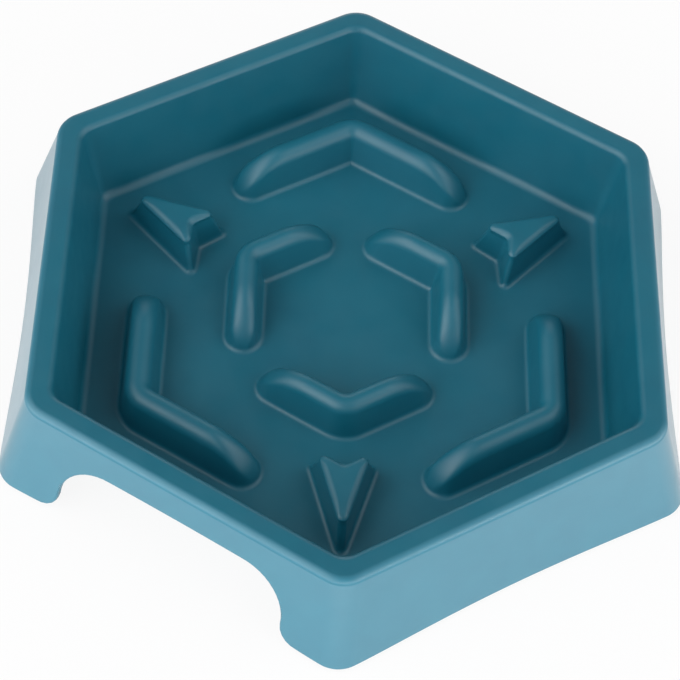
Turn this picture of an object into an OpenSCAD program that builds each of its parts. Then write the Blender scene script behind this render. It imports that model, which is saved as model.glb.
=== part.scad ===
// Hexagonal slow feeder bowl: one moulded shell, hollow underneath, on six push-in rubber feet.
// The table is z = 0. Corners lie on the Y axis, flat sides face along the X axis.

/* [Rim and well] */
// Width of the rim across two flat sides
rim_across = 220; // [180:5:300]
// Width of the rim's band, from the skirt's top to the well's mouth
rim_w = 9.25; // [7.5:0.25:14]
// How far the well's wall leans in from the mouth to the floor
wall_run = 6.25; // [3:0.25:12]
// Height of the well's floor above the skirt's bottom edge
floor_lift = 3.5; // [2.8:0.1:12]
// Radius of the rim's outer corners, seen from above
rim_corner_r = 11.5; // [6:0.5:20]
// Radius of the mouth's corners, seen from above
mouth_corner_r = 7.5; // [3:0.5:15]
// Radius of the floor's corners, seen from above
floor_corner_r = 4; // [2:0.5:12]
// Radius that rolls the rim's outer edge down
rim_roll_r = 2.8; // [1:0.1:4]
// Radius of the mouth's lip
lip_r = 1.5; // [0.5:0.1:3]
// Radius where the wall runs into the floor
floor_fillet_r = 2.2; // [0.5:0.1:4]

/* [Skirt] */
// Height of the shell, from the skirt's bottom edge to the rim's top
shell_h = 38.5; // [32:0.5:60]
// How far the skirt's base stands out past the rim on each flat side
skirt_flare = 11; // [6:0.5:30]
// How far the middle of each side is drawn in at the base
side_bow = 2; // [0:0.1:4]
// Wall thickness of the skirt, rim and well
wall_t = 2.5; // [1.5:0.1:3]
// Thickness of the well's floor
floor_t = 2.4; // [1.5:0.1:2.6]

/* [Lifting arches] */
// Width of an arch between its upright ends
arch_w = 90.5; // [60:0.5:96]
// Height of an arch above the skirt's bottom edge
arch_h = 25; // [12:0.5:30]
// Radius of an arch's two lower corners, where it runs out into the feet of the skirt
arch_foot_r = 7; // [2:0.5:8]

/* [Ribs] */
// Height of the ribs above the floor
rib_h = 14.6; // [8:0.1:22]
// Lean of the ribs' sides from upright, in degrees
rib_lean = 9.5; // [3:0.1:15]
// Radius inside a rib's bend, at the floor
rib_bend_r = 0.6; // [0.6:0.1:2]
// Radius along the ribs' top edges
rib_top_r = 3.3; // [1:0.1:4.2]
// Length over which a rib's ridge rolls down to the floor at its ends
rib_end_roll = 20; // [12:0.5:23]
// Width of an outer rib at the floor
outer_rib_w = 14.8; // [13:0.1:17]
// Place of the outer ribs' inner faces, as a share of the way from the middle to the floor's side
outer_rib_share = 0.701; // [0.68:0.001:0.72]
// Gap from an outer rib's end to the next corner of the hexagon that its inner faces lie on
outer_rib_gap = 29.8; // [26:0.1:34]
// Width of an inner rib at the floor
inner_rib_w = 14.1; // [13:0.1:16]
// Place of the inner ribs' inner faces, as a share of the way from the middle to the floor's side
inner_rib_share = 0.325; // [0.3:0.001:0.35]
// Gap from an inner rib's end to the next corner of the hexagon that its inner faces lie on
inner_rib_gap = 3.8; // [2:0.1:5]
// Wall thickness of the hollow ribs and arrowheads
rib_wall = 2; // [1.2:0.1:2.4]

/* [Arrowheads] */
// Height of the arrowheads above the floor
arrow_h = 14.6; // [8:0.1:22]
// Lean of the arrowheads' sides from upright, in degrees
arrow_lean = 8.9; // [3:0.1:11]
// Width of an arrowhead across its tails
arrow_w = 24.6; // [22:0.1:28]
// Places of an arrowhead's sharp tip, its notch and its tails, as shares of the floor's half-width
arrow_tip_share = 1.053; // [1:0.001:1.08]
arrow_notch_share = 0.691; // [0.66:0.001:0.72]
arrow_tail_share = 0.631; // [0.6:0.001:0.66]
// Radius of the tip and the tails, seen from above
arrow_corner_r = 1.7; // [0.5:0.1:1.9]
// Slant along the arrowheads' top edges
arrow_edge = 0.8; // [0.3:0.1:1.2]

/* [Feet] */
// Diameter of a rubber foot
foot_d = 14; // [10:0.5:16]
// Thickness of a foot's pad
foot_pad_t = 3; // [2.6:0.1:5]
// Height of the skirt's bottom edge above the table
foot_stand = 1.5; // [0.5:0.1:2.4]
// Radius of a foot's bottom edge
foot_edge_r = 0.8; // [0.3:0.1:1.2]
// Diameter of a foot's stem
stem_d = 6; // [4:0.5:7]
// Length of a foot's stem
stem_l = 8; // [5:0.5:12]
// Clearance around a stem and above its end
stem_clearance = 0.1; // [0.05:0.05:0.3]
// Diameter of the boss that holds a stem
boss_d = 12; // [10:0.5:14]
// Thickness of the web that ties a boss to the skirt and the well
web_t = 2; // [1.2:0.1:3]

/* [Hidden] */
SIDES = 6;
TURN = 360 / SIDES;
HALF_TURN = TURN / 2;
FOOT_NAMES = [
    "foot_back_right",
    "foot_back",
    "foot_back_left",
    "foot_front_left",
    "foot_front",
    "foot_front_right"
];

// Sides with a lifting arch, counted anticlockwise from the one that faces +X
ARCH_SIDES = [1, 4];
// Corners that the ribs' and arrowheads' axes point to, as numbers of turns past the first corner
OUTER_RIB_CORNERS = [1, 3, 5];
INNER_RIB_CORNERS = [0, 2, 4];
// Steps in a corner's arc, in a side, in an edge's round and in the arch's arcs
CORNER_STEPS = 4;
SIDE_STEPS = 4;
ROUND_STEPS = 3;
ARCH_STEPS = 12;
// Steps in a rib's end and around its bend, and the last step's share of the end's quarter round
END_STEPS = 4;
BEND_STEPS = 4;
END_STOP_SHARE = 0.92;
// How full the ridge of a rib's end is: half for a round end, one for a ramp that is flat on top
END_POWER_SHARE = 0.72;
// How gently the drawn-in sides run out towards the corners
BOW_POWER_SHARE = 1.5;
// What one cut runs past another face
overrun = 1;
// Facets of round parts
$fn = 64;

base_z = foot_stand;
rim_z = base_z + shell_h;
floor_z = base_z + floor_lift;
roll_z = rim_z - rim_roll_r;
rim_apothem = rim_across / 2;
base_apothem = rim_apothem + skirt_flare;
mouth_apothem = rim_apothem - rim_w;
floor_apothem = mouth_apothem - wall_run;
// Slopes of the skirt and of the well's wall, outward for each unit of height
skirt_slope = skirt_flare / (roll_z - base_z);
wall_slope = wall_run / (rim_z - floor_z);
under_z = floor_z - floor_t;
// The middle of each corner's space between the well and the skirt
foot_at = (far_corner(floor_apothem + wall_t, floor_corner_r + wall_t)
    + far_corner(base_apothem - wall_t, rim_corner_r - wall_t)) / 2;

// Distance from the axis to the outermost point of a rounded corner
function far_corner(apothem, corner_r) = (apothem - corner_r) / cos(HALF_TURN) + corner_r;

// A point at a distance and an angle from the axis
function polar(r, angle) = [r * cos(angle), r * sin(angle)];

// One side's drawn-in depth at a share of the way along it
function bow_at(bow, share) = bow * pow(1 - pow(2 * share - 1, 2), BOW_POWER_SHARE);

// The outline at one height: a hexagon with rounded corners and sides drawn in by bow
function hex_ring(apothem, corner_r, z, bow = 0, side_steps = SIDE_STEPS) = [
    for (k = [0 : SIDES - 1])
        let (
            centre = polar((apothem - corner_r) / cos(HALF_TURN), (k + 0.5) * TURN),
            next = polar((apothem - corner_r) / cos(HALF_TURN), (k + 1.5) * TURN),
            out = polar(1, (k + 1) * TURN)
        )
        for (p = concat(
            [for (i = [0 : CORNER_STEPS]) centre + polar(corner_r, (k + i / CORNER_STEPS) * TURN)],
            side_steps < 2 ? [] : [
                for (i = [1 : side_steps - 1])
                    let (share = i / side_steps)
                    centre + (next - centre) * share + out * (corner_r - bow_at(bow, share))
            ]
        )) [p.x, p.y, z]
];

// The mean of a ring's points
function ring_centre(ring) = [for (p = ring) 1] * ring / len(ring);

// A closed solid through rings of equally many points
module loft(rings) {
    n = len(rings[0]);
    last = len(rings) - 1;
    points = concat(
        [for (ring = rings) for (p = ring) p],
        [ring_centre(rings[0]), ring_centre(rings[last])]
    );
    low_centre = n * len(rings);
    sides = [
        for (i = [0 : last - 1]) for (j = [0 : n - 1])
            let (a = i * n + j, b = i * n + (j + 1) % n)
            for (face = [[a, a + n, b + n], [a, b + n, b]]) face
    ];
    low_cap = [for (j = [0 : n - 1]) [low_centre, j, (j + 1) % n]];
    high_cap = [for (j = [0 : n - 1]) [low_centre + 1, last * n + (j + 1) % n, last * n + j]];
    polyhedron(points, concat(sides, low_cap, high_cap));
}

// The shell's outside, as one solid from the skirt's base to the rim
module outer_form() {
    flat_apothem = rim_apothem - rim_roll_r;
    loft(concat(
        [hex_ring(base_apothem, rim_corner_r, base_z, side_bow)],
        [
            for (i = [0 : ROUND_STEPS])
                let (angle = 90 * i / ROUND_STEPS)
                hex_ring(
                    flat_apothem + rim_roll_r * cos(angle),
                    rim_corner_r - rim_roll_r * (1 - cos(angle)),
                    roll_z + rim_roll_r * sin(angle)
                )
        ]
    ));
}

// The well, from its filleted floor up past the mouth's lip
module well() {
    lean = atan(wall_slope);
    // The fillet and the lip are tangent to the leaning wall
    fillet_in = floor_fillet_r * tan((90 - lean) / 2);
    lip_out = lip_r * tan((90 - lean) / 2);
    fillet_centre = floor_apothem - fillet_in;
    lip_centre = mouth_apothem + lip_out;
    loft(concat(
        [
            for (i = [0 : ROUND_STEPS])
                let (angle = (90 - lean) * i / ROUND_STEPS)
                hex_ring(
                    fillet_centre + floor_fillet_r * sin(angle),
                    floor_corner_r,
                    floor_z + floor_fillet_r * (1 - cos(angle)),
                    side_steps = 1
                )
        ],
        [
            for (i = [0 : ROUND_STEPS])
                let (angle = lean + (90 - lean) * i / ROUND_STEPS)
                hex_ring(
                    lip_centre - lip_r * cos(angle),
                    mouth_corner_r,
                    rim_z - lip_r * (1 - sin(angle)),
                    side_steps = 1
                )
        ],
        [hex_ring(lip_centre, mouth_corner_r, rim_z + overrun, side_steps = 1)]
    ));
}

// The space inside the skirt and under the rim, open below
module skirt_inside() {
    top_z = rim_z - wall_t;
    low_z = base_z - overrun;
    top_in = rim_apothem - wall_t;
    corner_r = rim_corner_r - wall_t;
    low_share = (roll_z - low_z) / (roll_z - base_z);
    loft([
        hex_ring(top_in + skirt_slope * (roll_z - low_z), corner_r, low_z, side_bow * low_share),
        hex_ring(top_in, corner_r, roll_z),
        hex_ring(top_in - (top_z - roll_z), corner_r - (top_z - roll_z), top_z)
    ]);
}

// The outside of the well's wall and floor, which the space under the rim leaves standing
module well_wall() {
    top_z = rim_z - wall_t + overrun;
    loft([
        hex_ring(
            floor_apothem + wall_t - wall_slope * floor_t,
            floor_corner_r + wall_t,
            under_z,
            side_steps = 1
        ),
        hex_ring(
            floor_apothem + wall_t + wall_slope * (top_z - floor_z),
            mouth_corner_r + wall_t,
            top_z,
            side_steps = 1
        )
    ]);
}

// A foot's boss and the web through it, which the space under the rim leaves standing
module corner_stays() {
    web_l = base_apothem / 2;
    web_z = foot_pad_t + stem_l / 2;
    for (k = [0 : SIDES - 1]) rotate([0, 0, (k + 0.5) * TURN]) {
        translate([foot_at, 0, foot_pad_t]) cylinder(d = boss_d, h = rim_z - foot_pad_t);
        translate([foot_at - web_l / 2, -web_t / 2, web_z]) cube([web_l, web_t, rim_z - web_z]);
    }
}

// The hollow under the rim, without the bosses and their webs
module under_hollow() {
    difference() {
        skirt_inside();
        well_wall();
        corner_stays();
    }
}

// Half of an arch's outline, from the middle of its top to the skirt's foot, below which it runs on
function half_arch() =
    let (
        top_r = arch_h - arch_foot_r,
        half_w = arch_w / 2
    )
    concat(
        [
            for (i = [0 : ARCH_STEPS])
                [half_w - top_r, arch_foot_r] + polar(top_r, 90 - 90 * i / ARCH_STEPS)
        ],
        [
            for (i = [1 : ARCH_STEPS])
                [half_w + arch_foot_r, arch_foot_r] + polar(arch_foot_r, 180 + 90 * i / ARCH_STEPS)
        ],
        [[half_w + arch_foot_r, -overrun]]
    );

// A cut through the skirt for the fingers, on the side that faces +X
module arch_cut() {
    right = half_arch();
    outline = concat(right, [for (i = [len(right) - 1 : -1 : 0]) [-right[i].x, right[i].y]]);
    start = (mouth_apothem + rim_apothem) / 2;
    translate([start, 0, base_z])
        rotate([90, 0, 90])
        linear_extrude(base_apothem + overrun - start)
        polygon(outline);
}

// A rib's cross-section: distances from the bend's centre and heights above the floor
function rib_section(near, w, h, top_r, sink) =
    let (
        steps = top_r > 0 ? ROUND_STEPS : 0,
        run = (h - top_r) * tan(rib_lean) + top_r / cos(rib_lean),
        spread = sink * tan(rib_lean),
        turn = (90 - rib_lean) / max(1, steps)
    )
    concat(
        [[near - spread, -sink]],
        [for (i = [0 : steps]) [near + run, h - top_r] + polar(top_r, 180 - rib_lean - turn * i)],
        [for (i = [0 : steps]) [near + w - run, h - top_r] + polar(top_r, 90 - turn * i)],
        [[near + w + spread, -sink]]
    );

// That section at a place of the rib, turned to face out, with a share left of its width and height
function rib_ring(section, middle, origin, out_angle, w_share, h_share) = [
    for (p = section)
        let (place = origin + polar(middle + (p.x - middle) * w_share, out_angle))
        [place.x, place.y, p.y > 0 ? p.y * h_share : p.y]
];

// A bent rib whose bend points along +X: two arms with rounded ends that roll down to the floor
module bent_rib(bend_apothem, near, w, h, arm, end_roll, top_r, sink) {
    section = rib_section(near, w, h, top_r, sink);
    middle = near + w / 2;
    bend = [bend_apothem / cos(HALF_TURN), 0];
    tip = arm + w / 2;
    // Places along an arm from the bend, and the shares of width and height that are left there
    stations = [
        for (i = [0 : END_STEPS])
            let (
                fall = sin(90 * END_STOP_SHARE * i / END_STEPS),
                along = tip - end_roll * (1 - fall),
                past = max(0, along - arm)
            )
            [along, sqrt(1 - pow(past / (w / 2), 2)), pow(1 - pow(fall, 2), END_POWER_SHARE)]
    ];
    function arm_ring(side, s) =
        let (place = bend + polar(s[0], side * (90 + HALF_TURN)))
        rib_ring(section, middle, place, side * HALF_TURN, s[1], s[2]);
    loft(concat(
        [for (i = [END_STEPS : -1 : 0]) arm_ring(-1, stations[i])],
        [
            for (i = [0 : BEND_STEPS])
                rib_ring(section, middle, bend, -HALF_TURN + TURN * i / BEND_STEPS, 1, 1)
        ],
        [for (i = [0 : END_STEPS]) arm_ring(1, stations[i])]
    ));
}

// A rib's own outside, or with skin the hollow inside it
module rib(place_share, w, gap, skin = 0) {
    hollow = skin > 0;
    face_apothem = floor_apothem * place_share;
    // Each arm runs the length of one side of the inner faces' hexagon, less the gap and its round end
    arm = (2 * face_apothem - rib_bend_r) * tan(HALF_TURN) - gap - w / 2;
    bent_rib(
        face_apothem - rib_bend_r,
        rib_bend_r + skin,
        w - 2 * skin,
        rib_h - skin,
        arm,
        rib_end_roll - skin,
        hollow ? 0 : rib_top_r,
        hollow ? floor_t + overrun : floor_t / 2
    );
}

// A polygon with every side moved in by a distance
function inset(points, distance) = [
    for (i = [0 : len(points) - 1])
        let (
            n = len(points),
            before = unit(points[i] - points[(i + n - 1) % n]),
            after = unit(points[(i + 1) % n] - points[i]),
            in_before = [-before.y, before.x],
            in_after = [-after.y, after.x]
        )
        points[i] + distance * (in_before + in_after) / (1 + in_before * in_after)
];

function unit(v) = v / norm(v);

// The points of one rounded convex corner
function round_corner(before, corner, after, r, steps) =
    let (
        to_before = unit(before - corner),
        to_after = unit(after - corner),
        half = acos(to_before * to_after) / 2,
        centre = corner + unit(to_before + to_after) * r / sin(half),
        start = atan2(to_before.x, -to_before.y),
        sweep = 180 - 2 * half
    )
    [for (i = [0 : steps]) centre + polar(r, start + sweep * i / steps)];

// An arrowhead's outline with its sides moved in: the notch, then one tail, the tip and the other tail
function arrow_ring(distance, z) =
    let (
        sharp = inset(
            [
                [floor_apothem * arrow_notch_share, 0],
                [floor_apothem * arrow_tail_share, -arrow_w / 2],
                [floor_apothem * arrow_tip_share, 0],
                [floor_apothem * arrow_tail_share, arrow_w / 2]
            ],
            distance
        ),
        n = len(sharp)
    )
    [
        for (p = concat(
            [sharp[0]],
            [
                for (i = [1 : n - 1])
                    each round_corner(sharp[i - 1], sharp[i], sharp[(i + 1) % n], arrow_corner_r, ROUND_STEPS)
            ]
        )) [p.x, p.y, z]
    ];

// An arrowhead that points along +X, or with skin the hollow inside it
module arrowhead(skin = 0) {
    hollow = skin > 0;
    sink = hollow ? floor_t + overrun : floor_t / 2;
    top = arrow_h - skin;
    shoulder = hollow ? top : top - arrow_edge;
    loft(concat(
        [
            arrow_ring(skin - sink * tan(arrow_lean), -sink),
            arrow_ring(skin + shoulder * tan(arrow_lean), shoulder)
        ],
        hollow ? [] : [arrow_ring(shoulder * tan(arrow_lean) + arrow_edge, top)]
    ));
}

// The ribs and arrowheads that stand on the floor, or with skin the hollows inside them
module obstacles(skin = 0) {
    translate([0, 0, floor_z]) {
        for (k = OUTER_RIB_CORNERS) rotate([0, 0, (k + 0.5) * TURN])
            rib(outer_rib_share, outer_rib_w, outer_rib_gap, skin);
        for (k = INNER_RIB_CORNERS) rotate([0, 0, (k + 0.5) * TURN]) {
            rib(inner_rib_share, inner_rib_w, inner_rib_gap, skin);
            arrowhead(skin);
        }
    }
}

// The blind holes in the bosses that the feet's stems push into
module sockets() {
    for (k = [0 : SIDES - 1]) rotate([0, 0, (k + 0.5) * TURN])
        translate([foot_at, 0, foot_pad_t - overrun])
        cylinder(d = stem_d + 2 * stem_clearance, h = stem_l + stem_clearance + overrun);
}

module bowl_shell() {
    color([0.05, 0.4, 0.48]) difference() {
        union() {
            difference() {
                outer_form();
                well();
                under_hollow();
            }
            obstacles();
        }
        obstacles(rib_wall);
        for (k = ARCH_SIDES) rotate([0, 0, k * TURN]) arch_cut();
        sockets();
    }
}

// A rubber foot: a pad with a rounded bottom edge and the stem that holds it
module foot(corner) {
    pad_r = foot_d / 2;
    color([0.12, 0.13, 0.14])
        rotate([0, 0, (corner + 0.5) * TURN])
        translate([foot_at, 0, 0]) {
            rotate_extrude() union() {
                translate([0, foot_edge_r]) square([pad_r, foot_pad_t - foot_edge_r]);
                square([pad_r - foot_edge_r, foot_pad_t]);
                translate([pad_r - foot_edge_r, foot_edge_r]) intersection() {
                    circle(foot_edge_r);
                    translate([0, -foot_edge_r]) square(foot_edge_r);
                }
            }
            cylinder(d = stem_d, h = foot_pad_t + stem_l);
        }
}

bowl_shell();
for (k = [0 : SIDES - 1])
    foot(k);
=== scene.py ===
import math

import bmesh
import bpy
import numpy as np
from mathutils import Matrix, Vector
from mathutils.geometry import delaunay_2d_cdt


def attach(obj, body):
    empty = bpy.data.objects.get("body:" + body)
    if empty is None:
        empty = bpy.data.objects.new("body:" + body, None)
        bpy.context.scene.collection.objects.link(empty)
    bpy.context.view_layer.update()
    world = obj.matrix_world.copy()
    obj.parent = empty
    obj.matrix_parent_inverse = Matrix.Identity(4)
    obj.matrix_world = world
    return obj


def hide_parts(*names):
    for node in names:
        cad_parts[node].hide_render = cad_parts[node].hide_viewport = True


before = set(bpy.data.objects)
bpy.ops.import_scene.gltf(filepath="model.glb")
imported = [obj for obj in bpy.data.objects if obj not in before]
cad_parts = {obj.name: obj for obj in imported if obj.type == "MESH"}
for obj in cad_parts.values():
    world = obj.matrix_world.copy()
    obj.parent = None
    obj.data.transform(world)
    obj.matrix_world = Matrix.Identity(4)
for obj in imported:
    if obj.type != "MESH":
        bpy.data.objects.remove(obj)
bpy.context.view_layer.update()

MM = 0.001

# The shell's driving sizes: those of the solids, with a softer lip and floor fillet
RIM_APOTHEM = 110.0
RIM_W = 9.25
WALL_RUN = 6.25
FLOOR_LIFT = 3.5
RIM_CORNER_R = 11.5
MOUTH_CORNER_R = 7.5
FLOOR_CORNER_R = 4.0
RIM_ROLL_R = 2.8
LIP_R = 2.6
FLOOR_FILLET_R = 3.6
SHELL_H = 38.5
SKIRT_FLARE = 11.0
SIDE_BOW = 2.0
SIDE_BOW_POWER = 1.5
WALL_T = 2.5
FLOOR_T = 2.4
FOOT_STAND = 1.5
ARCH_W = 90.5
ARCH_H = 25.0
ARCH_FOOT_R = 7.0
ARCH_SIDES = (1, 4)

# Small rounds that only the looks need
CREASE_R = 0.5
EDGE_R = 0.7
UNDER_FILLET_R = 1.2
FLOOR_EDGE_R = 1.0

# Ribs: a little narrower and higher than those of the solids, with a fully round crest
RIB_H = 15.8
RIB_LEAN = math.radians(9.5)
RIB_BEND_R = 0.6
RIB_CROWN = 5.0
RIB_END_ROLL = 20.0
RIB_END_POWER = 0.72
RIB_WALL = 2.0
OUTER_RIB_W = 13.4
OUTER_RIB_SHARE = 0.708
OUTER_RIB_GAP = 30.6
INNER_RIB_W = 12.7
INNER_RIB_SHARE = 0.332
INNER_RIB_GAP = 4.6
RIB_FOOT_R = 1.9
OUTER_RIB_TURNS = (90, 210, 330)
INNER_RIB_TURNS = (30, 150, 270)

# Arrowheads: those of the solids, with rounder top edges and their own corner radii
ARROW_H = 14.6
ARROW_W = 24.6
ARROW_TOP_W = 17.2
ARROW_TIP_SHARE = 1.053
ARROW_TOP_TIP_SHARE = 0.988
ARROW_NOTCH_SHARE = 0.691
ARROW_TOP_NOTCH_SHARE = 0.727
ARROW_TAIL_SHARE = 0.631
ARROW_TOP_TAIL_SHARE = 0.677
ARROW_LEAN = math.radians(8.9)
ARROW_TIP_R = 1.75
ARROW_TAIL_R = 1.4
ARROW_NOTCH_R = 3.0
ARROW_TOP_R = 2.2

# Bosses under the corners, their sockets, and the webs that tie them to the walls
BOSS_AT = 123.22
BOSS_R = 6.0
BOSS_Z = 3.0
SOCKET_R = 3.1
SOCKET_TOP_Z = 11.1
WEB_T = 2.0
WEB_Z = 7.0
BOSS_EDGE_R = 0.4

# How far the ends of the bosses and webs are sunk into the shell
SUNK = 1.0

# Places that follow from the sizes
SIDES = 6
HALF_TURN = math.radians(30)
COS_HALF, TAN_HALF = math.cos(HALF_TURN), math.tan(HALF_TURN)
BASE_Z = FOOT_STAND
RIM_Z = BASE_Z + SHELL_H
FLOOR_Z = BASE_Z + FLOOR_LIFT
UNDER_Z = FLOOR_Z - FLOOR_T
ROLL_Z = RIM_Z - RIM_ROLL_R
MOUTH_APOTHEM = RIM_APOTHEM - RIM_W
FLOOR_APOTHEM = MOUTH_APOTHEM - WALL_RUN
SKIRT_SLOPE = SKIRT_FLARE / (ROLL_Z - BASE_Z)
WALL_SLOPE = WALL_RUN / (RIM_Z - FLOOR_Z)
SKIRT_LEAN = math.atan(SKIRT_SLOPE)
WALL_LEAN = math.atan(WALL_SLOPE)

# How finely the shell is drawn: columns go round it, and rows go along its profile
CORNER_COLUMNS = 12
SIDE_COLUMNS = 64
SKIRT_ROWS = 14
WALL_ROWS = 8
ROUND_ROWS = 7
EDGE_ROWS = 4
CREASE_ROWS = 3
BOSS_COLUMNS = 32
RIB_WALL_ROWS = 6
RIB_TOP_ROWS = 12
RIB_FOOT_ROWS = 6
RIB_BEND_COLUMNS = 12
RIB_ARM_COLUMNS = 4
RIB_SIDE_COLUMNS = 4
RIB_NOSE_COLUMNS = 22
ARROW_ARC_STEPS = 6
ARROW_EDGE_STEPS = 4
ARROW_WALL_ROWS = 10
ARROW_TOP_ROWS = 8

# Fine steps along the arch's outline before it is spaced evenly, and the reach of its directions
ARCH_STEPS = 200
ARCH_REACH = 0.05

# Points closer than these, in millimetres, are one: on the whole skin, and within a plate
WELD = 0.002
PLATE_WELD = 1e-7

# Halvings that find a height on a rib's end
HALVINGS = 40

# Least values that keep a division or a root away from zero
TINY_AREA = 1e-20
TINY_SHARE = 1e-12

# Material slots of the shell: plain, and the skirt's textured outside
PLAIN = 0
TEXTURED = 1


def polar(r, angle):
    return np.array([r * math.cos(angle), r * math.sin(angle)])


def lerp(a, b, share):
    return a + (b - a) * share


def unit(vector):
    return vector / np.linalg.norm(vector)


class Skin:
    """Collects grids, plates and caps of one piece, in millimetres, and welds them into a mesh."""

    def __init__(self):
        self.points = []
        self.faces = []
        self.slots = []
        self.count = 0

    def add(self, points, faces, slot=PLAIN):
        base = self.count
        self.points.append(np.asarray(points, float).reshape(-1, 3))
        self.count += len(self.points[-1])
        self.faces += [tuple(base + i for i in face) for face in faces]
        self.slots += [slot] * len(faces)

    def grid(self, points, flip=False, slot=PLAIN):
        """Rows of equally many points; each row is a closed ring."""
        rows, columns = points.shape[:2]
        faces = []
        for i in range(rows - 1):
            for j in range(columns):
                k = (j + 1) % columns
                low, high = i * columns, (i + 1) * columns
                face = (low + j, low + k, high + k, high + j)
                faces.append(face[::-1] if flip else face)
        self.add(points, faces, slot)

    def cap(self, ring, flip=False):
        face = tuple(range(len(ring)))
        self.add(ring, [face[::-1] if flip else face])

    def plate(self, outer, holes, z, flip=False):
        """A flat plate with holes: outer and holes are closed outlines in the plane."""
        loops = [np.asarray(loop)[:, :2] for loop in [outer] + holes]
        edges = []
        start = 0
        for loop in loops:
            n = len(loop)
            edges += [(start + i, start + (i + 1) % n) for i in range(n)]
            start += n
        flat = [Vector(p) for loop in loops for p in loop]
        inside_only = 1
        points, _, faces, _, _, _ = delaunay_2d_cdt(flat, edges, [], inside_only, PLATE_WELD)
        points = np.array([tuple(p) for p in points])
        triangles = np.array([face for face in faces if len(face) == 3])
        middles = points[triangles].mean(1)
        keep = inside(middles, loops[0])
        for hole in loops[1:]:
            keep &= ~inside(middles, hole)
        kept = [tuple(t[::-1]) if flip else tuple(t) for t in triangles[keep].tolist()]
        self.add(np.column_stack([points, np.full(len(points), z)]), kept)

    def build(self, name):
        mesh = bpy.data.meshes.new(name)
        mesh.from_pydata((np.concatenate(self.points) * MM).tolist(), [], self.faces)
        mesh.polygons.foreach_set("material_index", self.slots)
        work = bmesh.new()
        work.from_mesh(mesh)
        bmesh.ops.remove_doubles(work, verts=work.verts, dist=WELD * MM)
        bmesh.ops.dissolve_degenerate(work, edges=work.edges, dist=WELD / 2 * MM)
        work.to_mesh(mesh)
        work.free()
        mesh.validate()
        weigh_normals(mesh)
        piece = bpy.data.objects.new(name, mesh)
        bpy.context.scene.collection.objects.link(piece)
        return piece


def inside(points, loop):
    """Which of the points lie inside a closed outline."""
    x, y = points[:, 0], points[:, 1]
    hit = np.zeros(len(points), bool)
    for a, b in zip(loop, np.roll(loop, -1, axis=0)):
        spans = (a[1] > y) != (b[1] > y)
        if a[1] != b[1]:
            hit ^= spans & (x < (b[0] - a[0]) * (y - a[1]) / (b[1] - a[1]) + a[0])
    return hit


def weigh_normals(mesh):
    """Shades the mesh smooth, with each face counting by its area, so that flat stretches stay
    flat."""
    n = len(mesh.vertices)
    normals = np.zeros((n, 3))
    face_normals = np.empty(len(mesh.polygons) * 3)
    areas = np.empty(len(mesh.polygons))
    totals = np.empty(len(mesh.polygons), int)
    corners = np.empty(len(mesh.loops), int)
    mesh.polygons.foreach_get("normal", face_normals)
    mesh.polygons.foreach_get("area", areas)
    mesh.polygons.foreach_get("loop_total", totals)
    mesh.loops.foreach_get("vertex_index", corners)
    weighted = face_normals.reshape(-1, 3) * areas[:, None]
    np.add.at(normals, corners, np.repeat(weighted, totals, axis=0))
    normals /= np.maximum(np.linalg.norm(normals, axis=1), TINY_AREA)[:, None]
    mesh.polygons.foreach_set("use_smooth", np.ones(len(mesh.polygons), bool))
    mesh.normals_split_custom_set_from_vertices(normals.tolist())


def shell_columns():
    """The shell's columns: places on the hexagon of corner centres, outward directions, and the
    share of each side's drawn-in depth that a column takes."""
    centres, outs, bows = [], [], []
    for k in range(SIDES):
        corner = polar(1, (2 * k + 1) * HALF_TURN)
        next_corner = polar(1, (2 * k + 3) * HALF_TURN)
        for i in range(CORNER_COLUMNS + 1):
            centres.append(corner)
            outs.append(polar(1, 2 * HALF_TURN * (k + i / CORNER_COLUMNS)))
            bows.append(0.0)
        for i in range(1, SIDE_COLUMNS):
            share = i / SIDE_COLUMNS
            centres.append(lerp(corner, next_corner, share))
            outs.append(polar(1, 2 * HALF_TURN * (k + 1)))
            bows.append(side_bow(2 * share - 1))
    return np.array(centres), np.array(outs), np.array(bows)


def side_bow(place):
    """Share of the drawn-in depth at a place from -1 to 1 along a side."""
    return np.maximum(0, 1 - np.asarray(place) ** 2) ** SIDE_BOW_POWER


CENTRES, OUTS, BOWS = shell_columns()


def hex_ring(apothem, corner_r, z, bow=0.0):
    flat = (apothem - corner_r) / COS_HALF * CENTRES + (corner_r - bow * BOWS)[:, None] * OUTS
    return np.column_stack([flat, np.full(len(flat), z)])


def skirt_apothem(z):
    return RIM_APOTHEM + SKIRT_SLOPE * (ROLL_Z - z)


def skirt_depth_of_bow(z):
    return SIDE_BOW * (ROLL_Z - z) / (ROLL_Z - BASE_Z)


def skirt_ring(z, depth=0.0):
    return hex_ring(skirt_apothem(z) - depth, RIM_CORNER_R - depth, z, skirt_depth_of_bow(z))


def half_side(z):
    """Half of a side's straight length at a height of the skirt."""
    return (skirt_apothem(z) - RIM_CORNER_R) * TAN_HALF


def side_points(k, s, z, depth):
    """Points of side k's skirt, from places along the side, heights and depths into the wall."""
    out = polar(1, 2 * HALF_TURN * (k + 1))
    along = np.array([-out[1], out[0]])
    bow = skirt_depth_of_bow(z) * side_bow(s / half_side(z))
    flat = (skirt_apothem(z) - depth - bow)[:, None] * out + s[:, None] * along
    return np.column_stack([flat, z])


def arc(centre, r, start, end, steps):
    angles = np.radians(np.linspace(start, end, steps + 1))
    return np.column_stack([centre[0] + r * np.cos(angles), centre[1] + r * np.sin(angles)])


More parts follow.
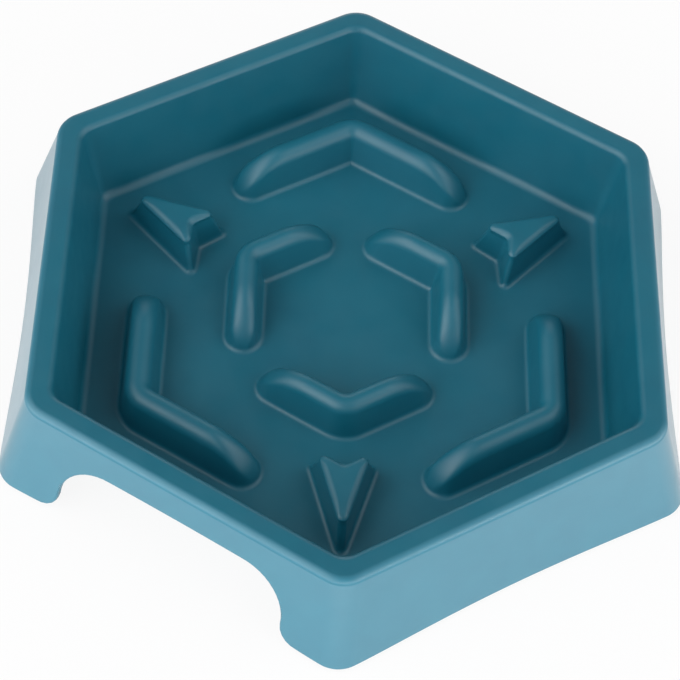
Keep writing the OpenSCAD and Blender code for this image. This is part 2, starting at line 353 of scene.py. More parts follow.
def arch_outline():
    """An arch side's lower edge: points along it, and the directions into the wall above it."""
    top_r = ARCH_H - ARCH_FOOT_R
    half_w = ARCH_W / 2
    foot_x = half_w + ARCH_FOOT_R
    spring_z = BASE_Z + ARCH_FOOT_R
    end_x = half_side(BASE_Z)
    foot = arc((foot_x, spring_z), ARCH_FOOT_R, 270, 180, ARCH_STEPS)
    shoulder = arc((half_w - top_r, spring_z), top_r, 0, 90, ARCH_STEPS)

    def level(start, end, z):
        return np.column_stack([np.linspace(start, end, ARCH_STEPS), np.full(ARCH_STEPS, z)])

    right = np.concatenate([
        level(end_x, foot_x, BASE_Z)[:-1],
        foot[:-1],
        shoulder[:-1],
        level(half_w - top_r, 0, BASE_Z + ARCH_H),
    ])
    left = right[:-1] * [-1, 1]
    fine = np.concatenate([left, right[::-1]])
    run = np.append(0, np.cumsum(np.linalg.norm(np.diff(fine, axis=0), axis=1)))
    at = np.linspace(0, run[-1], SIDE_COLUMNS + 1)
    points, ahead, behind = (
        np.column_stack([np.interp(at + reach, run, fine[:, i]) for i in (0, 1)])
        for reach in (0.0, ARCH_REACH, -ARCH_REACH)
    )
    along = ahead - behind
    along /= np.linalg.norm(along, axis=1)[:, None]
    into = np.column_stack([-along[:, 1], along[:, 0]])
    # Near the corners the wall's upright lines lean as the skirt's do
    lean = SKIRT_SLOPE * TAN_HALF
    reach = np.clip((np.abs(points[:, 0]) - foot_x) / (end_x - foot_x), 0, 1)
    into[:, 0] -= np.sign(points[:, 0]) * lean * reach
    return points, into


def arch_rows(rows, k, stretch_z, kind):
    """Bends the rows of side k's straight stretch so that they end on the arch's edge.
    Each row is (share down from stretch_z, offset from the edge, depth)."""
    points, into = arch_outline()
    # The outline runs from left to right seen from outside, the columns the other way
    points, into = points[::-1], into[::-1]
    points, into = points * [-1, 1], into * [-1, 1]
    share = np.linspace(-1, 1, SIDE_COLUMNS + 1)
    top = np.column_stack([share * half_side(stretch_z), np.full(SIDE_COLUMNS + 1, stretch_z)])
    first = k * (CORNER_COLUMNS + SIDE_COLUMNS) + CORNER_COLUMNS + 1
    for row, (down, off, depth) in zip(rows, kind):
        edge = points + into * off
        place = lerp(top, edge, down)[1:-1]
        row[first : first + SIDE_COLUMNS - 1] = side_points(k, place[:, 0], place[:, 1], depth)


def round_rows(centre_apothem, centre_z, r, start, end, corner_r, corner_share=1.0):
    """Rings round an arc of the profile: angles from outward, counted upward, in radians."""
    rings = []
    for i in range(ROUND_ROWS + 1):
        angle = lerp(start, end, i / ROUND_ROWS)
        reach, z = r * math.cos(angle), centre_z + r * math.sin(angle)
        rings.append(hex_ring(centre_apothem + reach, corner_r + corner_share * reach, z))
    return rings


def shell_rings():
    """All rings of the shell, from the floor's edge up the well, over the rim, down the skirt and
    back up inside it, to the edge of the floor's underside. Also where the skirt's outside starts
    and ends among them."""
    quarter = math.pi / 2
    # How far a fillet beside the well's leaning wall runs along the floor or rim, for its radius
    fillet_run = math.tan((quarter - WALL_LEAN) / 2)
    rings = []
    # Fillet at the floor's edge, well wall and lip
    rings += round_rows(
        FLOOR_APOTHEM - FLOOR_FILLET_R * fillet_run, FLOOR_Z + FLOOR_FILLET_R, FLOOR_FILLET_R,
        -quarter, -WALL_LEAN, FLOOR_CORNER_R, 0.0,
    )
    low_z = FLOOR_Z + FLOOR_FILLET_R * (1 - math.sin(WALL_LEAN))
    high_z = RIM_Z - LIP_R * (1 - math.sin(WALL_LEAN))
    for i in range(1, WALL_ROWS):
        share = i / WALL_ROWS
        z = lerp(low_z, high_z, share)
        rings.append(hex_ring(
            FLOOR_APOTHEM + WALL_SLOPE * (z - FLOOR_Z),
            lerp(FLOOR_CORNER_R, MOUTH_CORNER_R, share),
            z,
        ))
    rings += round_rows(
        MOUTH_APOTHEM + LIP_R * fillet_run, RIM_Z - LIP_R, LIP_R,
        math.pi - WALL_LEAN, quarter, MOUTH_CORNER_R, 0.0,
    )
    # Rim's flat band and its rolled edge
    rim_flat = RIM_APOTHEM - RIM_ROLL_R
    middle = lerp(MOUTH_APOTHEM + LIP_R * fillet_run, rim_flat, 0.5)
    rings.append(hex_ring(middle, lerp(MOUTH_CORNER_R, RIM_CORNER_R - RIM_ROLL_R, 0.5), RIM_Z))
    rings += round_rows(rim_flat, ROLL_Z, RIM_ROLL_R, quarter, 0, RIM_CORNER_R - RIM_ROLL_R)
    # Crease where the skirt starts to flare, rounded by a small concave arc
    crease_drop = CREASE_R * math.tan(SKIRT_LEAN / 2)
    crease_z = ROLL_Z - crease_drop * math.cos(SKIRT_LEAN)
    rings[-1] = hex_ring(RIM_APOTHEM, RIM_CORNER_R, ROLL_Z + crease_drop)
    rings += [
        hex_ring(
            RIM_APOTHEM + CREASE_R * (1 - math.cos(angle)),
            RIM_CORNER_R,
            ROLL_Z + crease_drop - CREASE_R * math.sin(angle),
        )
        for angle in np.linspace(0, SKIRT_LEAN, CREASE_ROWS + 1)[1:-1]
    ]
    # Skirt's face, bottom edge and inside
    inner_z = RIM_Z - WALL_T - UNDER_FILLET_R
    face = [(i / SKIRT_ROWS, EDGE_R, 0.0) for i in range(SKIRT_ROWS + 1)]
    turn = [quarter * i / EDGE_ROWS for i in range(1, EDGE_ROWS + 1)]
    outer_edge = [(1.0, EDGE_R * (1 - math.sin(a)), EDGE_R * (1 - math.cos(a))) for a in turn]
    inner_edge = [(1.0, off, WALL_T - depth) for _, off, depth in [face[-1]] + outer_edge[:-1]]
    inner_edge.reverse()
    back = [(i / SKIRT_ROWS, EDGE_R, WALL_T) for i in range(SKIRT_ROWS - 1, -1, -1)]
    skirt_start = len(rings)
    skirt_end = skirt_start + len(face + outer_edge)
    for top_z, kind in ((crease_z, face), (BASE_Z, outer_edge + inner_edge), (inner_z, back)):
        rows = []
        for down, off, depth in kind:
            z = lerp(top_z, BASE_Z + off, down)
            rows.append(skirt_ring(z, depth))
        for k in ARCH_SIDES:
            arch_rows(rows, k - 1, top_z, kind)
        rings += rows
    # Underside of the rim, between the skirt and the well
    skirt_in = skirt_apothem(inner_z) - WALL_T
    in_corner_r = RIM_CORNER_R - WALL_T
    well_out = FLOOR_APOTHEM + WALL_T + WALL_SLOPE * (inner_z - FLOOR_Z)
    rings += round_rows(
        skirt_in - UNDER_FILLET_R, inner_z, UNDER_FILLET_R,
        0, quarter, in_corner_r - UNDER_FILLET_R,
    )[1:]
    rings += round_rows(
        well_out + UNDER_FILLET_R, inner_z, UNDER_FILLET_R,
        quarter, math.pi, MOUTH_CORNER_R + WALL_T, 0.0,
    )
    for i in range(1, WALL_ROWS):
        share = i / WALL_ROWS
        z = lerp(inner_z, UNDER_Z + FLOOR_EDGE_R, share)
        rings.append(hex_ring(
            FLOOR_APOTHEM + WALL_T + WALL_SLOPE * (z - FLOOR_Z),
            lerp(MOUTH_CORNER_R, FLOOR_CORNER_R, share) + WALL_T,
            z,
        ))
    floor_out = FLOOR_APOTHEM + WALL_T + WALL_SLOPE * (UNDER_Z + FLOOR_EDGE_R - FLOOR_Z)
    rings += round_rows(
        floor_out - FLOOR_EDGE_R, UNDER_Z + FLOOR_EDGE_R, FLOOR_EDGE_R,
        0, -quarter, FLOOR_CORNER_R + WALL_T, 0.0,
    )
    return np.array(rings), skirt_start, skirt_end


class Rib:
    """A bent rib in its own plane: its bend points along +X, and heights count from the plane
    that it stands on."""

    def __init__(self, face_apothem, w, gap, h, near, crown, end_roll, foot_r):
        self.w, self.h, self.near, self.crown = w, h, near, crown
        self.end_roll, self.foot_r = end_roll, foot_r
        self.bend = np.array([(face_apothem - RIB_BEND_R) / COS_HALF, 0.0])
        self.arm = (2 * face_apothem - RIB_BEND_R) * TAN_HALF - gap
        # The crowned top is an ellipse; tangent is where it meets the leaning wall
        reach = w / 2 - (h - crown) * math.tan(RIB_LEAN)
        self.crown_reach = math.sqrt(reach ** 2 - (crown * math.tan(RIB_LEAN)) ** 2)
        self.tangent = self.crown_reach ** 2 / reach

    def section(self, y):
        """Height of the rib's cross-section at a distance from its middle."""
        y = np.abs(y)
        round_share = np.sqrt(np.maximum(0, 1 - (y / self.crown_reach) ** 2))
        dome = self.h - self.crown * (1 - round_share)
        wall = (self.w / 2 - y) / math.tan(RIB_LEAN)
        return np.maximum(0, np.where(y <= self.tangent, dome, wall))

    def end_height(self, x, y):
        """Height where the ridge rolls down: x counts from where the roll starts, and y from the
        middle."""
        full = self.end_roll - self.w / 2
        past = np.clip((x - full) / (self.w / 2), 0, 1)
        width = np.sqrt(np.maximum(TINY_SHARE, 1 - past ** 2))
        fall = (1 - np.clip(x / self.end_roll, 0, 1) ** 2) ** RIB_END_POWER
        return fall * self.section(np.minimum(np.abs(y) / width, self.w / 2))

    def rows(self):
        """Shares of the way in from the foot to the crest, on a plain stretch."""
        half = self.w / 2
        start = self.foot_r * math.tan(RIB_LEAN)
        wall = np.linspace(start, half - self.tangent, RIB_WALL_ROWS, endpoint=False)
        first = math.asin(self.tangent / self.crown_reach)
        dome = half - self.crown_reach * np.sin(np.linspace(first, 0, RIB_TOP_ROWS + 1))
        return np.concatenate([wall, dome]) / half

    def place(self, side, s, across):
        """A point beside an arm: s along it from the bend, across it from the bend's centre."""
        s = max(s, -across * TAN_HALF)
        along = polar(1, side * (math.pi / 2 + HALF_TURN))
        return self.bend + s * along + across * polar(1, side * HALF_TURN)

    def around_bend(self, angle, across):
        if across < 0:
            return self.bend + np.array([across / COS_HALF, 0.0])
        return self.bend + polar(across, angle)

    def column(self, point, across_foot, sign):
        """One plain column: point(across) places it, and sign is 1 on the outer face and -1 on
        the inner."""
        middle = self.near + self.w / 2
        half = self.w / 2
        foot = point(across_foot)
        start = self.foot_r * math.tan(RIB_LEAN)
        wall = point(across_foot - sign * start)
        floor = point(across_foot + sign * self.foot_r)
        column = foot_curve(floor, foot, wall, self.foot_r)
        for share in self.rows():
            dist = half * (1 - share)
            column.append([*point(middle + sign * dist), float(self.section(dist))])
        return column

    def end_columns(self, side):
        """Columns round an arm's end, from its outer to its inner side, as a fan about the
        crest's end."""
        half, roll = self.w / 2, self.end_roll
        lead = roll - half
        feet, outs = [], []
        for i in range(RIB_SIDE_COLUMNS):
            feet.append((lead * i / RIB_SIDE_COLUMNS, half))
            outs.append((0.0, 1.0))
        for i in range(RIB_NOSE_COLUMNS + 1):
            angle = math.pi / 2 - math.pi * i / RIB_NOSE_COLUMNS
            feet.append((lead + half * math.cos(angle), half * math.sin(angle)))
            outs.append((math.cos(angle), math.sin(angle)))
        for i in range(RIB_SIDE_COLUMNS - 1, -1, -1):
            feet.append((lead * i / RIB_SIDE_COLUMNS, -half))
            outs.append((0.0, -1.0))
        start_s = self.arm - lead
        middle = self.near + half
        plain = self.rows()
        shares = (plain - plain[0]) / (1 - plain[0])
        columns = []
        for (x, y), (nx, ny) in zip(feet, outs):
            low = self.share_at_height(x, y, self.foot_r)
            # At the nose the rows crowd towards the foot, where the surface is steepest
            nose = max(0.0, nx)
            ins = low + (1 - low) * shares ** (1 + nose)
            xs, ys = x * (1 - ins), y * (1 - ins)
            heights = self.end_height(xs, ys)
            heights[0] = self.foot_r
            flat = [self.place(side, start_s + px, middle + py) for px, py in zip(xs, ys)]
            foot = self.place(side, start_s + x, middle + y)
            floor = self.place(side, start_s + x + nx * self.foot_r, middle + y + ny * self.foot_r)
            column = foot_curve(floor, foot, flat[0], self.foot_r)
            column += [[*p, float(z)] for p, z in zip(flat, heights)]
            columns.append(column)
        return columns

    def share_at_height(self, x, y, height):
        """How far in from the foot (x, y) towards the crest the surface reaches a low height."""
        # The foot's curve always ends in the outer half
        low, high = 0.0, 0.5
        for _ in range(HALVINGS):
            mid = (low + high) / 2
            if self.end_height(np.array(x * (1 - mid)), np.array(y * (1 - mid))) < height:
                low = mid
            else:
                high = mid
        return high

    def grid(self):
        """Rings from the floor round the rib up to its crest, as rows by columns of points."""
        start_s = self.arm - (self.end_roll - self.w / 2)
        near, far = self.near, self.near + self.w

        def bend(foot, sign):
            shares = [i / RIB_BEND_COLUMNS for i in range(RIB_BEND_COLUMNS)]
            angles = [lerp(-HALF_TURN, HALF_TURN, share) for share in shares]
            return [self.column(lambda a, t=t: self.around_bend(t, a), foot, sign) for t in angles]

        def arm(side, foot, sign):
            places = [start_s * i / RIB_ARM_COLUMNS for i in range(RIB_ARM_COLUMNS)]
            return [self.column(lambda a, s=s: self.place(side, s, a), foot, sign) for s in places]

        columns = bend(far, 1) + arm(1, far, 1) + self.end_columns(1)
        columns += arm(1, near, -1)[::-1] + bend(near, -1)[:0:-1]
        columns += arm(-1, near, -1) + self.end_columns(-1)[::-1] + arm(-1, far, 1)[:0:-1]
        return np.array(columns).transpose(1, 0, 2)


def foot_curve(floor, foot, wall, height):
    """A small concave curve from the floor to the wall, without its last point."""
    a, b, c = (np.array([*floor, 0.0]), np.array([*foot, 0.0]), np.array([*wall, height]))
    shares = np.arange(RIB_FOOT_ROWS) / RIB_FOOT_ROWS
    return [list((1 - t) ** 2 * a + 2 * t * (1 - t) * b + t * t * c) for t in shares]


def ribs_of(face_share, w, gap):
    """A rib's outside, standing on the floor, and the hollow inside it, open at the floor's
    underside."""
    face = FLOOR_APOTHEM * face_share
    outside = Rib(face, w, gap + w / 2, RIB_H, RIB_BEND_R, RIB_CROWN, RIB_END_ROLL, RIB_FOOT_R)
    spread = FLOOR_T * math.tan(RIB_LEAN)
    inner_w = w - 2 * RIB_WALL + 2 * spread
    hollow = Rib(
        face, inner_w, gap + w / 2, RIB_H - RIB_WALL + FLOOR_T, RIB_BEND_R + RIB_WALL - spread,
        RIB_CROWN / 2, RIB_END_ROLL - RIB_WALL + spread, RIB_FOOT_R / 2,
    )
    return outside.grid(), hollow.grid()


def moved_in(corners, distance):
    """A polygon with every side moved in by a distance."""
    n = len(corners)
    moved = []
    for i in range(n):
        before = unit(corners[i] - corners[i - 1])
        after = unit(corners[(i + 1) % n] - corners[i])
        in_before, in_after = np.array([-before[1], before[0]]), np.array([-after[1], after[0]])
        moved.append(corners[i] + distance * (in_before + in_after) / (1 + in_before @ in_after))
    return moved


def rounded(corners, radii):
    """A closed outline through a polygon's corners, each rounded by its radius."""
    n = len(corners)
    arcs = []
    for i in range(n):
        corner = corners[i]
        to_before, to_after = unit(corners[i - 1] - corner), unit(corners[(i + 1) % n] - corner)
        half = math.acos(np.clip(to_before @ to_after, -1, 1)) / 2
        centre = corner + unit(to_before + to_after) * radii[i] / math.sin(half)
        start = corner + to_before * radii[i] / math.tan(half)
        end = corner + to_after * radii[i] / math.tan(half)
        first = math.atan2(*(start - centre)[::-1])
        sweep = (math.atan2(*(end - centre)[::-1]) - first + math.pi) % (2 * math.pi) - math.pi
        turns = [first + sweep * t / ARROW_ARC_STEPS for t in range(ARROW_ARC_STEPS + 1)]
        arcs.append([centre + polar(radii[i], turn) for turn in turns])
    outline = []
    for i in range(n):
        outline += arcs[i]
        a, b = arcs[i][-1], arcs[(i + 1) % n][0]
        outline += [lerp(a, b, t / ARROW_EDGE_STEPS) for t in range(1, ARROW_EDGE_STEPS)]
    return np.array(outline)


def arrow_corners(notch_share, tail_share, tip_share, w):
    return np.array([
        [FLOOR_APOTHEM * notch_share, 0.0],
        [FLOOR_APOTHEM * tail_share, -w / 2],
        [FLOOR_APOTHEM * tip_share, 0.0],
        [FLOOR_APOTHEM * tail_share, w / 2],
    ])


def arrow_grid(h, top_r, foot_r, base_in):
    """Rings of an arrowhead: base_in is how far inside the outer faces it lies, as its hollow
    does."""
    base = arrow_corners(ARROW_NOTCH_SHARE, ARROW_TAIL_SHARE, ARROW_TIP_SHARE, ARROW_W)
    top = arrow_corners(
        ARROW_TOP_NOTCH_SHARE, ARROW_TOP_TAIL_SHARE, ARROW_TOP_TIP_SHARE, ARROW_TOP_W
    )
    profile = []
    for i in range(RIB_FOOT_ROWS):
        t = i / RIB_FOOT_ROWS
        profile.append((-foot_r * (1 - t) ** 2, foot_r * t * t))
    top_z = h - top_r * (1 - math.sin(ARROW_LEAN))
    for z in np.linspace(foot_r, top_z, ARROW_WALL_ROWS, endpoint=False):
        profile.append((0.0, z))
    slant = top_r * math.tan((math.pi / 2 - ARROW_LEAN) / 2)
    for angle in np.linspace(ARROW_LEAN, math.pi / 2, ARROW_TOP_ROWS + 1):
        drop = top_r * (1 - math.sin(angle))
        profile.append((slant - top_r * math.cos(angle) - drop * math.tan(ARROW_LEAN), h - drop))
    rings = []
    for distance, z in profile:
        corners = moved_in(lerp(base, top, z / ARROW_H), base_in + distance)
        spread = max(0.0, -distance)
        tail_r, tip_r = ARROW_TAIL_R + spread, ARROW_TIP_R + spread
        flat = rounded(corners, (ARROW_NOTCH_R, tail_r, tip_r, tail_r))
        rings.append(np.column_stack([flat, np.full(len(flat), z)]))
    return np.array(rings)


def turned(points, degrees, lift):
    """Points turned about the bowl's axis and lifted."""
    c, s = math.cos(math.radians(degrees)), math.sin(math.radians(degrees))
    x, y, z = points[..., 0], points[..., 1], points[..., 2]
    return np.stack([c * x - s * y, s * x + c * y, z + lift], axis=-1)


def make_shell():
    skin = Skin()
    rings, skirt_start, skirt_end = shell_rings()
    skin.grid(rings[: skirt_start + 1], flip=True)
    skin.grid(rings[skirt_start:skirt_end], flip=True, slot=TEXTURED)
    skin.grid(rings[skirt_end - 1 :], flip=True)
    top_holes, under_holes = [], []

    def stand(grid, hollow, degrees):
        top, under = turned(grid, degrees, FLOOR_Z), turned(hollow, degrees, UNDER_Z)
        skin.grid(top)
        skin.grid(under, flip=True)
        top_holes.append(top[0])
        under_holes.append(under[0])
        return top, under

    outer = ribs_of(OUTER_RIB_SHARE, OUTER_RIB_W, OUTER_RIB_GAP)
    inner = ribs_of(INNER_RIB_SHARE, INNER_RIB_W, INNER_RIB_GAP)
    arrow_in = RIB_WALL - FLOOR_T * math.tan(ARROW_LEAN)
    arrow = (
        arrow_grid(ARROW_H, ARROW_TOP_R, RIB_FOOT_R, 0.0),
        arrow_grid(ARROW_H - RIB_WALL + FLOOR_T, ARROW_TOP_R / 2, RIB_FOOT_R / 2, arrow_in),
    )
    for degrees in OUTER_RIB_TURNS:
        stand(*outer, degrees)
    for degrees in INNER_RIB_TURNS:
        stand(*inner, degrees)
        top, under = stand(*arrow, degrees)
        skin.cap(top[-1])
        skin.cap(under[-1], flip=True)
    for k in range(SIDES):
        angle = (2 * k + 1) * HALF_TURN
        add_boss(skin, angle, RIM_Z - WALL_T + SUNK)
        add_web(skin, angle, RIM_Z - WALL_T + SUNK)
    skin.plate(rings[0], top_holes, FLOOR_Z)
    skin.plate(rings[-1], under_holes, UNDER_Z, flip=True)
    return skin.build("shell_skin")


def far_corner(apothem, corner_r):
    """Distance from the axis to the middle of a rounded corner."""
    return (apothem - corner_r) / COS_HALF + corner_r


def skirt_inside_at(z):
    return far_corner(skirt_apothem(z) - WALL_T, RIM_CORNER_R - WALL_T)


def well_outside_at(z):
    apothem = FLOOR_APOTHEM + WALL_SLOPE * (z - FLOOR_Z)
    corner_r = lerp(FLOOR_CORNER_R, MOUTH_CORNER_R, (z - FLOOR_Z) / (RIM_Z - FLOOR_Z))
    return far_corner(apothem + WALL_T, corner_r + WALL_T)


def within_skirt(point, angle, z):
    """The point, drawn back where it would stand outside the middle of the skirt's wall at a
    corner."""
    apothem = skirt_apothem(z) - WALL_T / 2
    corner_r = RIM_CORNER_R - WALL_T / 2
    for side in (-1, 1):
        out = polar(1, angle + side * HALF_TURN)
        point = point - max(0.0, point @ out - apothem) * out
    centre = polar((apothem - corner_r) / COS_HALF, angle)
    away = point - centre
    reach = np.linalg.norm(away)
    if reach > corner_r and away @ polar(1, angle) > reach * COS_HALF:
        point = centre + away * corner_r / reach
    return point


def add_boss(skin, angle, top_z):
    """A round boss with its blind socket; its top is sunk into the rim."""
    edge = BOSS_EDGE_R
    steps = [math.pi / 2 * i / EDGE_ROWS for i in range(EDGE_ROWS + 1)]
    profile = [(SOCKET_R - edge, SOCKET_TOP_Z), (SOCKET_R, SOCKET_TOP_Z - edge)]
    bends = [(edge * (1 - math.cos(a)), edge * (1 - math.sin(a))) for a in steps]
    profile += [(SOCKET_R + first, BOSS_Z + second) for first, second in bends]
    profile += [(BOSS_R - second, BOSS_Z + first) for first, second in bends]
    profile += [(BOSS_R, z) for z in np.linspace(BOSS_Z + edge, top_z, WALL_ROWS)[1:]]
    centre = polar(BOSS_AT, angle)
    turns = [2 * math.pi * i / BOSS_COLUMNS for i in range(BOSS_COLUMNS)]
    rings = np.array([
        [[*within_skirt(centre + polar(r, turn), angle, z), z] for turn in turns]
        for r, z in profile
    ])
    skin.grid(rings)
    skin.cap(rings[0], flip=True)
    skin.cap(rings[-1])


def add_web(skin, angle, top_z):
    """A thin upright web across a corner, sunk at its ends into the well's wall and the skirt."""
    half, edge = WEB_T / 2, BOSS_EDGE_R
    section = [
        (-half, top_z), (-half, WEB_Z + edge), (edge - half, WEB_Z),
        (half - edge, WEB_Z), (half, WEB_Z + edge), (half, top_z),
    ]
    outward, across = polar(1, angle), polar(1, angle + math.pi / 2)
    ends = [
        [well_outside_at(z) - SUNK for _, z in section],
        [skirt_inside_at(z) + SUNK for _, z in section],
    ]
    rings = np.array([
        [[*(outward * reach + across * side), z] for reach, (side, z) in zip(reaches, section)]
        for reaches in ends
    ])
    skin.grid(rings)
    skin.cap(rings[0], flip=True)
    skin.cap(rings[-1])


shell = make_shell()
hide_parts("bowl_shell")
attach(shell, "root")


# Camera at the photo's angle
CAMERA_AT = (-22.0, -456.1, 658.8)
CAMERA_AZIMUTH = math.radians(2.52)
CAMERA_DOWN = math.radians(55.46)
CAMERA_ROLL = math.radians(4.715)
LENS = 114.54
SENSOR = 36.0


def make_camera():
    forward = Vector((
        math.sin(CAMERA_AZIMUTH) * math.cos(CAMERA_DOWN),
        math.cos(CAMERA_AZIMUTH) * math.cos(CAMERA_DOWN),
        -math.sin(CAMERA_DOWN),
    ))
    level = Vector((math.cos(CAMERA_AZIMUTH), -math.sin(CAMERA_AZIMUTH), 0.0))
    upright = level.cross(forward)
    right = level * math.cos(CAMERA_ROLL) + upright * math.sin(CAMERA_ROLL)
    up = upright * math.cos(CAMERA_ROLL) - level * math.sin(CAMERA_ROLL)
    data = bpy.data.cameras.new("photo_camera")
    data.lens = LENS
    data.sensor_width = SENSOR
    camera = bpy.data.objects.new("photo_camera", data)
    turn = Matrix((right, up, -forward)).transposed().to_4x4()
    camera.matrix_world = Matrix.Translation(Vector(CAMERA_AT) * MM) @ turn
    bpy.context.scene.collection.objects.link(camera)
    bpy.context.scene.camera = camera


make_camera()


# Materials
NOISE_LOW = 0.3
NOISE_HIGH = 0.7
BUMP_STRENGTH = 0.5


def node_material(name):
    material = bpy.data.materials.new(name)
    material.use_nodes = True
    nodes = material.node_tree.nodes
    return material, nodes, material.node_tree.links, nodes["Principled BSDF"]


def noise(nodes, links, feature, detail=2.0, seed=0.0):
    """Noise over the object's own coordinates with features of a size in millimetres."""
    place = nodes.new("ShaderNodeTexCoord")
    texture = nodes.new("ShaderNodeTexNoise")
    texture.noise_dimensions = "4D"
    texture.inputs["W"].default_value = seed
    texture.inputs["Scale"].default_value = 1 / (feature * MM)
    texture.inputs["Detail"].default_value = detail
    links.new(place.outputs["Object"], texture.inputs["Vector"])
    return texture.outputs["Fac"]


def mapped(nodes, links, value, low, high, start=NOISE_LOW, end=NOISE_HIGH):
    """The value spread from start..end to low..high; noise lies mostly within the defaults."""
    spread = nodes.new("ShaderNodeMapRange")
    ranges = (("From Min", start), ("From Max", end), ("To Min", low), ("To Max", high))
    for name, number in ranges:
        spread.inputs[name].default_value = number
    links.new(value, spread.inputs["Value"])
    return spread.outputs["Result"]


def mixed(nodes, links, share, first, second):
    """A colour between two: each is a colour or another node's output."""
    mix = nodes.new("ShaderNodeMix")
    mix.data_type = "RGBA"
    for socket, colour in ((mix.inputs["A"], first), (mix.inputs["B"], second)):
        if isinstance(colour, tuple):
            socket.default_value = (*colour, 1)
        else:
            links.new(colour, socket)
    links.new(share, mix.inputs["Factor"])
    return mix.outputs["Result"]


def bumped(nodes, links, height, distance, before=None):
    """A bump of a depth in millimetres, laid over another one."""
    bump = nodes.new("ShaderNodeBump")
    bump.inputs["Distance"].default_value = distance * MM
    bump.inputs["Strength"].default_value = BUMP_STRENGTH
    links.new(height, bump.inputs["Height"])
    if before is not None:
        links.new(before, bump.inputs["Normal"])
    return bump.outputs["Normal"]


# Plastic
TEAL = (0.001, 0.127, 0.190)
TEAL_DEEP = (0.001, 0.114, 0.176)
TEAL_PALE = (0.004, 0.140, 0.204)
FLOW_SIZE = 60.0
CLOUD_SIZE = 9.0
CLOUD_SHARE = 0.5
GRAIN_SIZE = 0.45
SINK_DEPTH = 0.08
PLASTIC_ROUGHNESS = (0.42, 0.5)
PLASTIC_IOR = 1.5
HAZE_ROUGHNESS = 0.35

# Finishes: gloss, depth of the grain in millimetres, and haze, the pale bloom at low angles
SATIN_FINISH = (0.7, 0.01, 0.0)
TEXTURED_FINISH = (1.0, 0.03, 0.85)


def make_plastic(name, gloss, grain_depth, haze):
    """Moulded polypropylene: one teal with faint flow clouds and sinks, and a fine grain."""
    material, nodes, links, shader = node_material(name)
    flow = mapped(nodes, links, noise(nodes, links, FLOW_SIZE, detail=1.0), 0.0, 1.0)
    clouds = noise(nodes, links, CLOUD_SIZE, detail=3.0, seed=2.0)
    clouds = mapped(nodes, links, clouds, 0.0, CLOUD_SHARE)
    grain = noise(nodes, links, GRAIN_SIZE, seed=5.0)
    tone = mixed(nodes, links, flow, TEAL_DEEP, TEAL)
    links.new(mixed(nodes, links, clouds, tone, TEAL_PALE), shader.inputs["Base Color"])
    rough = mapped(nodes, links, noise(nodes, links, CLOUD_SIZE, seed=8.0), *PLASTIC_ROUGHNESS)
    links.new(rough, shader.inputs["Roughness"])
    shader.inputs["IOR"].default_value = PLASTIC_IOR
    shader.inputs["Specular IOR Level"].default_value = gloss
    shader.inputs["Sheen Weight"].default_value = haze
    shader.inputs["Sheen Roughness"].default_value = HAZE_ROUGHNESS
    sink = bumped(nodes, links, noise(nodes, links, FLOW_SIZE, detail=0.0, seed=3.0), SINK_DEPTH)
    links.new(bumped(nodes, links, grain, grain_depth, sink), shader.inputs["Normal"])
    return material


# Rubber
RUBBER = (0.020, 0.021, 0.023)
RUBBER_DUSTY = (0.042, 0.043, 0.045)
DUST_SIZE = 2.5
RUBBER_GRAIN_SIZE = 0.4
RUBBER_GRAIN_DEPTH = 0.03
RUBBER_ROUGHNESS = (0.62, 0.8)
RUBBER_GLOSS = 0.4


def make_rubber():
    """Soft black rubber: matte, slightly dusty, with a fine grain."""
    material, nodes, links, shader = node_material("foot_rubber_black")
    dust = mapped(nodes, links, noise(nodes, links, DUST_SIZE, detail=4.0), 0.0, 1.0)
    links.new(mixed(nodes, links, dust, RUBBER, RUBBER_DUSTY), shader.inputs["Base Color"])
    rough = mapped(nodes, links, dust, *RUBBER_ROUGHNESS, 0.0, 1.0)
    links.new(rough, shader.inputs["Roughness"])
    shader.inputs["Specular IOR Level"].default_value = RUBBER_GLOSS
    grain = noise(nodes, links, RUBBER_GRAIN_SIZE, seed=4.0)
    links.new(bumped(nodes, links, grain, RUBBER_GRAIN_DEPTH), shader.inputs["Normal"])
    return material


shell.data.materials.append(make_plastic("teal_plastic", *SATIN_FINISH))
shell.data.materials.append(make_plastic("teal_plastic_textured", *TEXTURED_FINISH))
rubber = make_rubber()
for name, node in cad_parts.items():
    if name.startswith("foot_"):
        for slot in node.material_slots:
            slot.material = rubber


# Floor: half its width is in metres. The camera sees it nearly white, with some shadow left
FLOOR_HALF = 6.0
FLOOR_ALBEDO = 0.85
FLOOR_ROUGHNESS = 0.9
FLOOR_GLOSS = 0.0
SHADOW_SHARE = 0.1
BACKDROP = 1.0


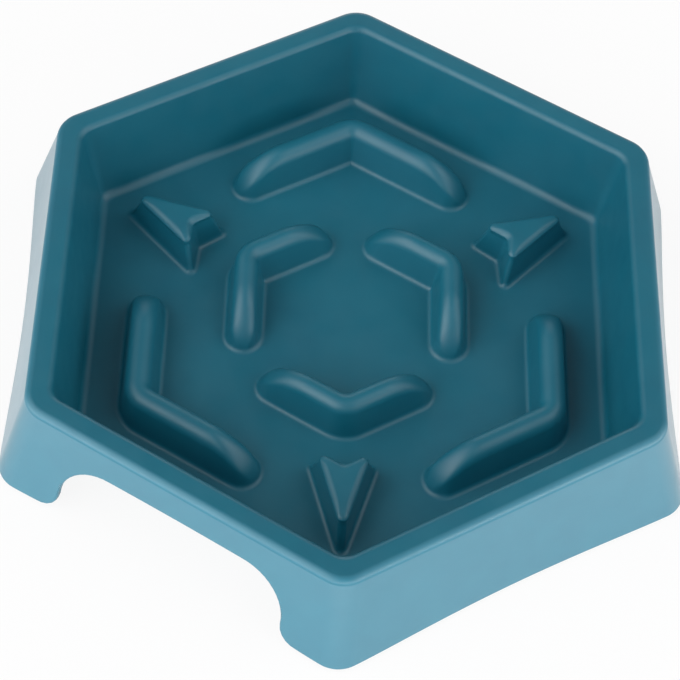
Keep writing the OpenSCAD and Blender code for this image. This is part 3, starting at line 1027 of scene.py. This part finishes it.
def make_floor():
    mesh = bpy.data.meshes.new("floor")
    h = FLOOR_HALF
    mesh.from_pydata([(-h, -h, 0), (h, -h, 0), (h, h, 0), (-h, h, 0)], [], [(0, 1, 2, 3)])
    floor = bpy.data.objects.new("floor", mesh)
    bpy.context.scene.collection.objects.link(floor)
    material, nodes, links, shader = node_material("pale_floor")
    shader.inputs["Base Color"].default_value = (FLOOR_ALBEDO, FLOOR_ALBEDO, FLOOR_ALBEDO, 1)
    shader.inputs["Roughness"].default_value = FLOOR_ROUGHNESS
    shader.inputs["Specular IOR Level"].default_value = FLOOR_GLOSS
    rays = nodes.new("ShaderNodeLightPath")
    seen = rays.outputs["Is Camera Ray"]
    for kind in ("Is Glossy Ray", "Is Transmission Ray"):
        either = nodes.new("ShaderNodeMath")
        either.operation = "MAXIMUM"
        links.new(seen, either.inputs[0])
        links.new(rays.outputs[kind], either.inputs[1])
        seen = either.outputs["Value"]
    white = nodes.new("ShaderNodeEmission")
    white.inputs["Strength"].default_value = BACKDROP
    mix = nodes.new("ShaderNodeMixShader")
    links.new(mapped(nodes, links, seen, 0.0, 1 - SHADOW_SHARE, 0.0, 1.0), mix.inputs["Fac"])
    links.new(shader.outputs["BSDF"], mix.inputs[1])
    links.new(white.outputs["Emission"], mix.inputs[2])
    links.new(mix.outputs["Shader"], nodes["Material Output"].inputs["Surface"])
    mesh.materials.append(material)


make_floor()


# Studio light: a dim dome with wide soft patches of light, and low strips around the front.
# A patch is (azimuth, elevation, half-width, strength), angles in degrees, with the front at 270
PATCHES = {
    "high_left": (180, 58, 26, 1.1),
    "high_right": (0, 58, 26, 1.3),
    "left": (180, 40, 32, 1.5),
    "right": (0, 40, 32, 0.85),
    "back_left": (135, 40, 32, 0.35),
    "low_back": (90, 12, 24, 2.0),
    "back_right": (45, 40, 32, 0.3),
    "front_left": (225, 40, 32, 2.4),
    "front_right": (315, 40, 32, 0.35),
    "low_left": (180, 14, 26, 1.0),
    "low_right": (0, 14, 26, 1.5),
    "low_front_left": (225, 14, 26, 2.3),
    "low_front": (270, 14, 26, 0.8),
    "low_front_right": (315, 14, 26, 3.0),
}
DOME = 0.01
STRIP_TURNS = (210, 270, 330)
STRIP_AT = 420.0
STRIP_CLEAR = 1.0
STRIP_SIZE = (450.0, 35.0)
STRIP_POWER = 0.66


def make_strips():
    for degrees in STRIP_TURNS:
        data = bpy.data.lights.new("strip", "AREA")
        data.shape = "RECTANGLE"
        data.size, data.size_y = STRIP_SIZE[0] * MM, STRIP_SIZE[1] * MM
        data.energy = STRIP_POWER
        lamp = bpy.data.objects.new("strip", data)
        flat = polar(STRIP_AT, math.radians(degrees))
        place = Vector((*flat, STRIP_SIZE[1] / 2 + STRIP_CLEAR)) * MM
        lamp.location = place
        lamp.rotation_euler = Vector((-place.x, -place.y, 0)).to_track_quat("-Z", "Y").to_euler()
        bpy.context.scene.collection.objects.link(lamp)


def make_world():
    world = bpy.data.worlds.new("studio")
    world.use_nodes = True
    nodes, links = world.node_tree.nodes, world.node_tree.links
    place = nodes.new("ShaderNodeTexCoord").outputs["Generated"]

    def added(total, value, strength, edge):
        spread = nodes.new("ShaderNodeMapRange")
        spread.interpolation_type = "SMOOTHSTEP"
        for name, number in (("From Min", edge), ("From Max", 1.0), ("To Max", strength)):
            spread.inputs[name].default_value = number
        links.new(value, spread.inputs["Value"])
        both = nodes.new("ShaderNodeMath")
        links.new(spread.outputs["Result"], both.inputs[0])
        if total is None:
            both.inputs[1].default_value = DOME
        else:
            links.new(total, both.inputs[1])
        return both.outputs["Value"]

    total = None
    for azimuth, elevation, half_width, strength in PATCHES.values():
        flat = polar(math.cos(math.radians(elevation)), math.radians(azimuth))
        nearness = nodes.new("ShaderNodeVectorMath")
        nearness.operation = "DOT_PRODUCT"
        nearness.inputs[1].default_value = (*flat, math.sin(math.radians(elevation)))
        links.new(place, nearness.inputs[0])
        edge = math.cos(math.radians(half_width))
        total = added(total, nearness.outputs["Value"], strength, edge)
    nodes["Background"].inputs["Color"].default_value = (1, 1, 1, 1)
    links.new(total, nodes["Background"].inputs["Strength"])
    bpy.context.scene.world = world


make_world()
make_strips()
bpy.context.scene.view_settings.view_transform = "Standard"
